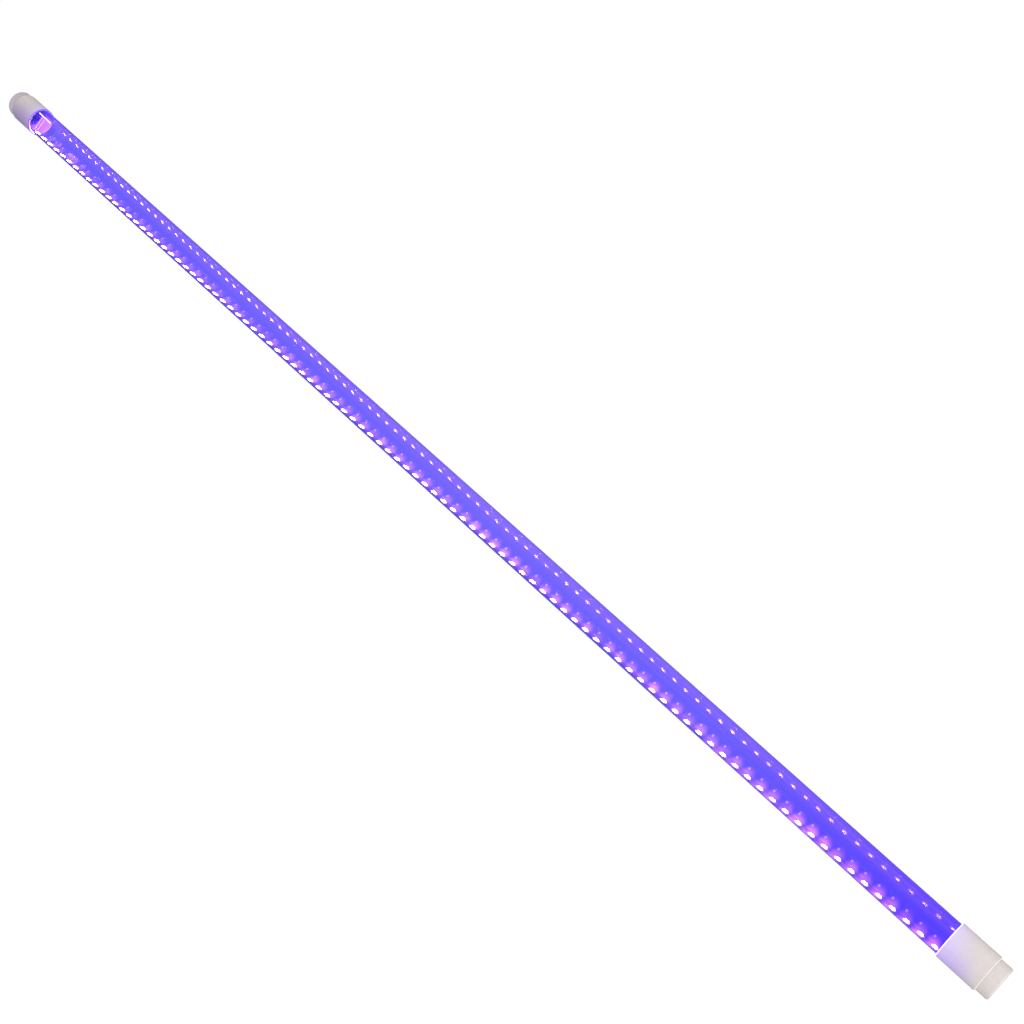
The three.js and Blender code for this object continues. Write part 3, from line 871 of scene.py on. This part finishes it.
def adhesive_bm(side, steps=220):
    """A flat bead between board and glass, whose edges swell and shrink along it."""
    outer = BORE_R - 0.3
    top = BOARD_BOTTOM - 0.15
    start, end = sorted((2 * side, side * (BOARD_END - 1)))
    rows = []
    for i in range(steps + 1):
        x = start + (end - start) * i / steps
        half = 2.35 + 0.16 * math.sin(0.21 * x + side) + 0.09 * math.sin(0.57 * x)
        reach = math.asin(half / outer)
        under = [(x, outer * math.sin(reach * t), -outer * math.cos(reach * t))
                 for t in (-1, -0.6, -0.2, 0.2, 0.6, 1)]
        rows.append([(x, half, top), (x, -half, top), *under])
    return lofted_bm(rows)


for half_name, half_side in (("driver_half", -1), ("plain_half", 1)):
    add_led_half(half_name, half_side)
    bead = finish_mesh(f"{half_name}_adhesive_bead", adhesive_bm(half_side), Matrix(), silicone)
    place(bead, "root", "silicone", f"{half_name}_adhesive")

STRAP_LIFT = 0.08         # of its middle, where it crosses from board to board
for strap_name in ("bridge_strap_left", "bridge_strap_right"):
    low, high = (tuple(v / MM for v in corner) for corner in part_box(strap_name))
    middle, half = (low[1] + high[1]) / 2, (high[1] - low[1]) / 2
    top = high[2] - STRAP_LIFT
    section = ((-half, low[2]), (half, low[2]), (half, top), (-half, top))
    rows = [[(x, middle + y, z + lift) for y, z in section]
            for x, lift in ((-2.0, 0), (-1.0, 0), (-0.6, STRAP_LIFT), (0.6, STRAP_LIFT), (1.0, 0), (2.0, 0))]
    strap = finish_mesh(f"{strap_name}_ribbon", lofted_bm(rows), Matrix(), tinned)
    place(strap, "root", "tinned_metal", strap_name)


# ---- The pieces of an end ----

def quarter(x, radius, size, steps=6):
    """A rounded outer edge of a profile, from its face at x out to its side at that radius."""
    angles = [math.pi / 2 * i / steps for i in range(steps + 1)]
    return [(x + size - size * math.cos(a), radius - size + size * math.sin(a)) for a in angles]


def cap_profile():
    mouth = [(2 * MOUTH - x, r) for x, r in reversed(quarter(MOUTH, CAP_R, 0.35, 4))]
    groove = [(SEAL_X + x, HUB_HOLE_R + deep) for x, deep in ((0.6, 0), (0.6, 0.5), (-0.6, 0.5), (-0.6, 0))]
    return [(SHOULDER, HUB_HOLE_R), *quarter(SHOULDER, CAP_R, 0.8, 8), *mouth,
            (MOUTH, SOCKET_R + 0.2), (MOUTH - 0.2, SOCKET_R), (LEDGE, SOCKET_R), (LEDGE, CHAMBER_R),
            (WALL_BACK + 0.4, CHAMBER_R), (WALL_BACK, CHAMBER_R - 0.4), (WALL_BACK, HUB_HOLE_R + 0.1),
            (WALL_BACK - 0.1, HUB_HOLE_R), *groove, (SHOULDER, HUB_HOLE_R)]


def nose_profile():
    seal = (SEAL_X - 0.8, SEAL_X + 0.8)
    clip = (CLIP_X[0] - 0.25, CLIP_X[1] + 0.25)
    grooves = [spot for start, end in (seal, clip)
               for spot in ((start, HUB_R), (start, GROOVE_R), (end, GROOVE_R), (end, HUB_R))]
    return [(0, 0), *quarter(0, NOSE_R, NOSE_EDGE, 10), (NOSE_BACK - 0.05, NOSE_R),
            (NOSE_BACK, NOSE_R - 0.05), (NOSE_BACK, HUB_R), *grooves, (HUB_END - 0.3, HUB_R),
            (HUB_END, HUB_R - 0.3), (HUB_END, HUB_BORE_R + 0.2), (HUB_END - 0.2, HUB_BORE_R),
            (NOSE_BACK, HUB_BORE_R), (NOSE_BACK, 0)]


def stadium(radius, x, steps=24):
    """The round-ended outline of the pins' recess, at an x."""
    out = []
    for side, start in ((1, -math.pi / 2), (-1, math.pi / 2)):
        for i in range(steps + 1):
            angle = start + math.pi * i / steps
            out.append((x, side * PIN_Y + radius * math.cos(angle), radius * math.sin(angle)))
    return out


def disc_bm(start, end, radius, y=0.0, sides=SMALL):
    bm = turned_bm([(start, 0), (start, radius), (end, radius), (end, 0)], sides)
    bm.transform(Matrix.Translation((0, y, 0)))
    return bm


def add_cap(end, side):
    piece = finish_mesh(f"{end}_cap_sleeve", turned_bm(cap_profile(), 160), side, cap_plastic, cap_inside)
    travel = math.pi + LUG_ANGLE + math.radians(4)
    carve(piece, sector_bm(SHOULDER - 1, NOSE_BACK + LUG_HEIGHT + 0.3, LUG_R[0] - 0.3, LUG_R[1] + 0.3,
                           math.pi / 2, travel, 72), side)
    finish_inside(piece, SOCKET_R + 0.1)
    place(piece, "root", "white_plastic", f"{end}_cap")


def add_nose(end, side, body):
    piece = finish_mesh(f"{end}_nose_moulding", turned_bm(nose_profile(), 160), side, cap_plastic)
    floor_x = NOSE_BACK - NOSE_FLOOR
    recess = lofted_bm([stadium(SLOT_R + 1.0, -0.6), stadium(SLOT_R, 0.4), stadium(SLOT_R, floor_x - 0.25),
                        stadium(SLOT_R - 0.25, floor_x)])
    carve(piece, recess, side)
    for y in (-PIN_Y, PIN_Y):
        carve(piece, disc_bm(0.5, NOSE_BACK + 0.5, PIN_R + 0.3, y), side)
    lug = sector_bm(NOSE_BACK - 0.5, NOSE_BACK + LUG_HEIGHT, *LUG_R, math.pi / 2, LUG_ANGLE, 8)
    carve(piece, lug, side, "UNION")
    place(piece, body, "white_plastic", f"{end}_nose")


def add_pin(end, side, body, name, y):
    collar = (NOSE_BACK + 0.3, CARRIER_X[0] - 0.3)
    profile = [(PIN_TIP, 0), *quarter(PIN_TIP, PIN_R, 0.5, 8), (collar[0], PIN_R), (collar[0], COLLAR_R),
               (collar[1], COLLAR_R), (collar[1], TAIL_R), (PIN_TAIL, TAIL_R), (PIN_TAIL, 0)]
    piece = turned(f"{end}_{name}_turned", profile, brass, side @ Matrix.Translation((0, y, 0)), SMALL, 0.06)
    place(piece, body, "pin_brass", f"{end}_{name}")


def add_carrier(end, side, body):
    outer = HUB_BORE_R - 0.3
    profile = [(CARRIER_X[0], 0), (CARRIER_X[0], outer - 1.5), (CARRIER_X[0] + 0.25, outer - 1.5),
               (CARRIER_X[0] + 0.25, outer), (CARRIER_X[1], outer), (CARRIER_X[1], outer - 1.2),
               (CARRIER_X[1] - 0.4, outer - 1.6), (CARRIER_X[1] - 0.4, 0)]
    piece = turned(f"{end}_carrier_disc", profile, insulation, side, 96, 0.12)
    for y in (-PIN_Y, PIN_Y):
        carve(piece, disc_bm(CARRIER_X[0] - 1, CARRIER_X[1] + 1, TAIL_R + 0.15, y, 32), side)
    place(piece, body, "insulation", f"{end}_contact_carrier")


def add_clip(end, side, body):
    """An open spring ring, with an eye for the pliers at each of its ends."""
    opening = math.radians(50)
    bm = sector_bm(*CLIP_X, GROOVE_R + 0.3, CLIP_R, -math.pi / 2, 2 * math.pi - opening, 96)
    piece = finish_mesh(f"{end}_hub_clip_spring", bm, side, spring_steel)
    eye_r = (GROOVE_R + 0.3 + CLIP_R) / 2
    for turn in (-1, 1):
        angle = -math.pi / 2 + turn * (opening / 2 + math.radians(6))
        eye = disc_bm(CLIP_X[0] - 1, CLIP_X[1] + 1, 0.5, eye_r * math.cos(angle), 24)
        eye.transform(Matrix.Translation((0, 0, eye_r * math.sin(angle))))
        carve(piece, eye, side)
    place(piece, body, "spring_steel", f"{end}_hub_clip")


def add_drag_ring(end, side, body):
    section = [(SEAL_X + SEAL_R * math.cos(a), SEAL_RING_R + SEAL_R * math.sin(a)) for a in full_turn(24)]
    piece = finish_mesh(f"{end}_drag_ring_rubber", turned_bm([*section, section[0]], 128), side, rubber)
    place(piece, body, "black_rubber", f"{end}_drag_ring")


def add_glue_ring(end, side):
    """A bead of glue behind the tube's edge, uneven on its inner side."""
    start, stop = end_span("driver_end_glue_ring")
    outer = SOCKET_R - 0.2
    rows = []
    for angle in full_turn(96):
        wave = 0.5 + 0.3 * math.sin(5 * angle) + 0.2 * math.sin(13 * angle + 1)
        low = CHAMBER_R + 0.1 + 0.25 * wave
        section = [(start, outer), (start + 0.1 * wave, low + 0.15), (start + 0.4, low), (stop - 0.35, low),
                   (stop, low + 0.2), (stop, outer)]
        rows.append([round_x(x, r, angle) for x, r in section])
    bead = finish_mesh(f"{end}_glue_bead", lofted_bm(rows, ring=True), side, silicone)
    place(bead, "root", "silicone", f"{end}_glue_ring")


for end_name, end_side, nose_body in (("driver_end", DRIVER_SIDE, "driver_nose"),
                                      ("plain_end", PLAIN_SIDE, "plain_nose")):
    add_cap(end_name, end_side)
    add_nose(end_name, end_side, nose_body)
    for pin_name, pin_y in (("pin_left", -PIN_Y), ("pin_right", PIN_Y)):
        add_pin(end_name, end_side, nose_body, pin_name, pin_y)
    add_carrier(end_name, end_side, nose_body)
    add_clip(end_name, end_side, nose_body)
    add_drag_ring(end_name, end_side, nose_body)
    add_glue_ring(end_name, end_side)


# ---- The driver ----

DRIVER = DRIVER_SIDE @ ROLLED
GAP = 0.3                   # between the board and a part on it
UNDER = DRIVER_BOTTOM - GAP
ON = DRIVER_TOP + GAP


def add_driver_piece(node, part, bm, material, slot, matrix=DRIVER):
    place(finish_mesh(f"{node}_{part}", bm, matrix, material), "root", slot, node)


def along_board(*places):
    """Distances from the board's start, as places along the lamp's end."""
    return tuple(DRIVER_START + x for x in places)


def gull_wings_bm(x, half_y, count, pitch, top):
    """Bent flat leads along two sides of a package, down to the board."""
    foot = DRIVER_TOP + 0.14
    parts = []
    for i in range(count):
        middle = x + (i - (count - 1) / 2) * pitch
        for side in (-1, 1):
            rows = []
            for out, z in ((-0.1, top), (0.25, top), (0.45, foot), (0.95, foot)):
                y = side * (half_y + out)
                rows.append([(middle + px, y, z + pz)
                             for px, pz in ((-0.2, -0.07), (0.2, -0.07), (0.2, 0.07), (-0.2, 0.07))])
            parts.append(lofted_bm(rows))
    return merged_bm(*parts)


def dome_bm(x, y, z, radius, height, steps=5):
    """A solder joint: a low dome about Z."""
    rows = []
    for i in range(steps):
        angle = math.pi / 2 * i / steps
        r = radius * math.cos(angle)
        rows.append([(x + r * math.cos(a), y + r * math.sin(a), z + height * math.sin(angle))
                     for a in full_turn(16)])
    return lofted_bm(rows)


def add_driver_board():
    step, narrow, wide = DRIVER_START + 3, 7.2, DRIVER_HALF_WIDTH
    half = [(DRIVER_START, narrow), (step, narrow), (step, wide), (DRIVER_END, wide)]
    outline = [(x, -y) for x, y in half] + half[::-1]
    bm = lofted_bm([[(x, y, z) for x, y in outline] for z in (DRIVER_BOTTOM, DRIVER_TOP)])
    bmesh.ops.bevel(bm, geom=bm.edges[:], offset=0.06, segments=1, affect="EDGES")
    add_driver_piece("driver_board", "panel", bm, circuit_board, "circuit_board")
    joints = ((5.0, -1.4), (5.0, 1.4), (11.4, 4.9), (11.4, 6.9), (17.8, -6.0), (17.8, 6.0),
              (22.0, -1.8), (22.0, 1.8), (13.2, -6.6))
    domes = merged_bm(*(dome_bm(DRIVER_START + x, y, DRIVER_TOP, 0.75, 0.28) for x, y in joints))
    add_driver_piece("driver_board", "solder", domes, tinned, "tinned_metal")


def add_liner():
    profile = ring_profile(DRIVER_START - 1, TUBE_END - 0.3, 11.2, 11.55)
    film = turned_bm(softened(profile, 0.1), FINE)
    add_driver_piece("insulating_liner", "film", film, liner_film, "liner")


def add_capacitor(node="smoothing_capacitor", r=3.15, length=11, vent_r=1.9):
    """An aluminium can across the lamp, with its sleeve rolled in round both ends."""
    x, z = DRIVER_START + 1.8 + r, UNDER - r
    spot = DRIVER @ Matrix.Translation((x, -8.4, z)) @ Matrix.Rotation(math.pi / 2, 4, "Z")
    bottom = [(0.05, 0), (0.05, vent_r), (0, vent_r + 0.1), (0, r - 0.4), (0.12, r - 0.12), (0.4, r)]
    top = [(length - x, r - dip) for x, dip in ((2.5, 0), (2.0, 0.4), (1.6, 0.4), (1.1, 0), (0.4, 0),
                                                (0.1, 0.2), (0, 0.5), (0, 1.0), (0.3, 1.1), (0.3, r))]
    can = turned_bm(softened(bottom + top, 0.15), 64)
    add_driver_piece(node, "sleeve", can, sleeve, "capacitor_sleeve", spot)
    vent = [(0, 0), (0, vent_r - 0.15), (0.06, vent_r - 0.05), (0.1, vent_r - 0.05), (0.1, 0)]
    add_driver_piece(node, "vent", turned_bm(vent, 48), aluminium, "capacitor_sleeve", spot)
    leads = [wire_bm([(lead_x, 2.2, z), (lead_x, 2.75, z + 0.05), (lead_x, 2.92, z + 0.7),
                      (lead_x, 2.92, UNDER - 1), (lead_x, 2.92, DRIVER_BOTTOM)], 0.2, 12)
             for lead_x in (x - 1.1, x + 1.1)]
    add_driver_piece(node, "leads", merged_bm(*leads), tinned, "tinned_metal")


def add_inductor(node="driver_inductor", flange=1.6, turns=8, steps=6):
    """Two ferrite flanges with the turns of enamelled wire between them."""
    x, y, z = along_board(1.8, 8.1), (3.2, 8.4), (-1.2, UNDER)
    flanges = [block_bm(x, y, ends, 0.2) for ends in ((z[0], z[0] + flange), (z[1] - flange, z[1]))]
    add_driver_piece(node, "core", merged_bm(*flanges), ferrite, "ferrite")
    middle = (sum(x) / 2, sum(y) / 2)
    start, end = z[0] + flange - 0.05, z[1] - flange + 0.05
    rows = []
    for step in range(turns * steps + 1):
        dip = 0.16 * abs(math.cos(math.pi * step / steps))
        height = start + (end - start) * step / (turns * steps)
        rows.append([(middle[0] + px, middle[1] + py, height)
                     for px, py in rounded_outline(2.15 - dip, 2.0 - dip, 1.2, 6)])
    add_driver_piece(node, "winding", lofted_bm(rows), enamel, "ferrite")


def add_package(node, start, end, height, bevel, count, pitch, lead_top):
    """A black package on the board's face, with its leads."""
    x, half_y = along_board(start, end), 2
    body = block_bm(x, (-half_y, half_y), (ON, ON + height), bevel, 3)
    add_driver_piece(node, "body", body, package, "black_package")
    leads = gull_wings_bm(sum(x) / 2, half_y, count, pitch, ON + lead_top)
    add_driver_piece(node, "leads", leads, tinned, "tinned_metal")


def add_fuse(node="input_fuse", r=1.3, cap=1.6):
    """A ceramic body between two metal caps."""
    spot = DRIVER @ Matrix.Translation((0, -4.6, ON + r))
    start, end = along_board(7, 14)
    body = disc_bm(start + 1.2, end - 1.2, r - 0.15, sides=40)
    add_driver_piece(node, "body", body, ceramic, "fuse_ceramic", spot)
    caps = [turned_bm(softened([(a, 0), (a, r), (b, r), (b, r - 0.3), (b, 0)], 0.25), 40)
            for a, b in ((start, start + cap), (end, end - cap))]
    add_driver_piece(node, "caps", merged_bm(*caps), tinned, "tinned_metal", spot)


add_driver_board()
add_liner()
add_capacitor()
add_inductor()
add_package("bridge_rectifier", 6.4, 11, 2.5, 0.2, 2, 2.6, 0.9)
add_package("driver_chip", 15.6, 20.5, 1.5, 0.15, 4, 1.2, 0.6)
film_block = block_bm(along_board(12.2, 14.8), (-2.2, 4), (ON, ON + 4), 0.35, 4)
add_driver_piece("interference_capacitor", "body", film_block, film_case, "film_capacitor")
add_fuse()


# ---- The leads ----

LEAD_START = PIN_TAIL + 0.3
ON_FACE = ON + LEAD_R
FOOT = BOARD_TOP + 0.2 + LEAD_R     # of the output leads, on the LED board


def rolled(x, y, z):
    return tuple(ROLLED @ Vector((x, y, z)))


def add_lead(name, points, material, slot, bare):
    """An insulated lead, bare over a share of its length at each end, in the driver end's frame."""
    path = smooth_path(points, 10)
    last = len(path) - 1
    jacket = path[round(last * bare):round(last * (1 - bare)) + 1]
    pieces = (finish_mesh(f"{name}_jacket", wire_bm(jacket, LEAD_R, 24), DRIVER_SIDE, material),
              finish_mesh(f"{name}_core", wire_bm(path, LEAD_R * 0.6, 16), DRIVER_SIDE, tinned))
    for piece, finish_slot in zip(pieces, (slot, "tinned_metal")):
        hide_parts(name)
    return pieces


for lead_name, side, finish, slot in (("input_lead_live", 1, red_lead, "red_lead"),
                                      ("input_lead_neutral", -1, black_lead, "black_lead")):
    points = [(LEAD_START, side * PIN_Y, 0), (LEAD_START + 0.8, side * PIN_Y, 0.1),
              rolled(16.9, side * 7.5, 2.6), rolled(17.6, side * 8.15, 5.2),
              rolled(18.2, side * 7.9, ON_FACE - 0.4), rolled(19.6, side * 6.8, ON_FACE + 0.1),
              rolled(22, side * 5.2, ON_FACE)]
    for piece in add_lead(lead_name, points, finish, slot, 0.08):
        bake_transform(piece)

for lead_name, side in (("output_lead_positive", 1), ("output_lead_negative", -1)):
    points = [rolled(DRIVER_END - 1.4, side * 1.8, UNDER - 0.2),
              rolled(DRIVER_END - 1.1, side * 1.8, UNDER - 1.6), rolled(DRIVER_END - 0.6, side * 1.9, 1),
              (DRIVER_END - 0.6, side * 1.9, -4), (DRIVER_END - 1.4, side * 1.8, -8.6),
              (DRIVER_END - 3, side * 1.7, FOOT), (DRIVER_END - 4.6, side * 1.7, FOOT)]
    for piece in add_lead(lead_name, points, white_lead, "white_lead", 0.07):
        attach(piece, "root")

leg = [(LEAD_START, PIN_Y, 0), (LEAD_START + 1, PIN_Y, 0), (LEAD_START + 2.4, PIN_Y - 1.6, 0)]
link_points = [*leg, (LEAD_START + 2.8, 0, 0), *((x, -y, z) for x, y, z in reversed(leg))]
link = finish_mesh("plain_end_pin_link_wire", wire_bm(link_points, LEAD_R, 24), PLAIN_SIDE, tinned)
place(link, "plain_nose", "tinned_metal", "plain_end_pin_link")


# ---- Floor, light and camera ----

def add_floor(reach=60000):
    """A floor so bright that it shows no shadow, as in the photo's white surround."""
    bm = bmesh.new()
    bm.faces.new([bm.verts.new((x, y, -CAP_R)) for x, y in
                  ((-reach, -reach), (reach, -reach), (reach, reach), (-reach, reach))])
    n = Nodes("pale_floor")
    n.set(Base_Color=n.ramp(n.noise(2.0, 2), (0.3, (0.02, 0.02, 0.02)), (0.7, (0.03, 0.03, 0.03))),
          Roughness=0.9, Specular_IOR_Level=0.0)
    n.shine((*WHITE, 1))
    floor = finish_mesh("floor", bm, Matrix(), n.material)
    floor.visible_glossy = False
    floor.visible_diffuse = False


def add_light(name, place_at, aim, size, power):
    data = bpy.data.lights.new(name, "AREA")
    data.shape = "DISK"
    data.size = size
    data.energy = power
    light = add_object(name, data)
    light.location = place_at
    light.rotation_euler = (Vector(aim) - Vector(place_at)).to_track_quat("-Z", "Y").to_euler()


def add_world():
    """A white surround behind everything. The lamps below light the tube, so it isn't washed out."""
    world = bpy.data.worlds.new("studio")
    world.use_nodes = True
    world.node_tree.nodes["Background"].inputs["Color"].default_value = (*WHITE, 1)
    bpy.context.scene.world = world
    world.cycles_visibility.glossy = False


add_floor()
add_world()
add_light("key_light", (1.9, -0.7, 0.6), (0.58, 0, 0), 0.5, 9)
add_light("fill_light", (1.2, -1.1, 0.06), (0.58, 0, 0), 0.5, 3)
add_camera()
bpy.context.scene.view_settings.view_transform = "Standard"
bpy.context.scene.cycles.sample_clamp_indirect = 0
